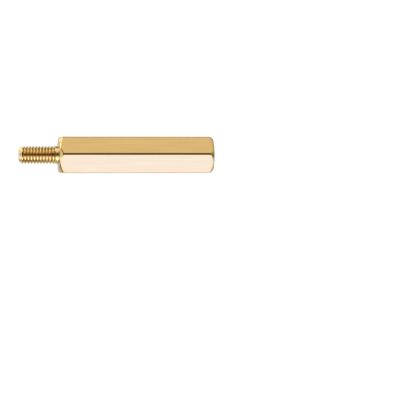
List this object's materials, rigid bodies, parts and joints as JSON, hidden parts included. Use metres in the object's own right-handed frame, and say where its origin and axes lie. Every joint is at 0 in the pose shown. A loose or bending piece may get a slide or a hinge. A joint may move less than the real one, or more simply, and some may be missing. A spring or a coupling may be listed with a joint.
{
  "type": "hex standoff",
  "caption": "Hexagonal brass spacer bar with chamfered ends, a threaded stud on one end and a blind tapped hole in the other.",
  "frame": {"origin": "on the axis, in the plane of the shoulder that the stud stands out of", "axes": "+X along the axis towards the tapped end, the stud points to -X; +Z is square to the flat that it lies on; -Y is the side the viewer faces"},
  "size_m": [0.0314, 0.0064, 0.0058],
  "materials": {
    "brass": "bright polished brass: drawn flats with faint lines along the bar, turned ends and thread"
  },
  "bodies": {
    "root": {"standoff": "brass"}
  },
  "joints": []
}
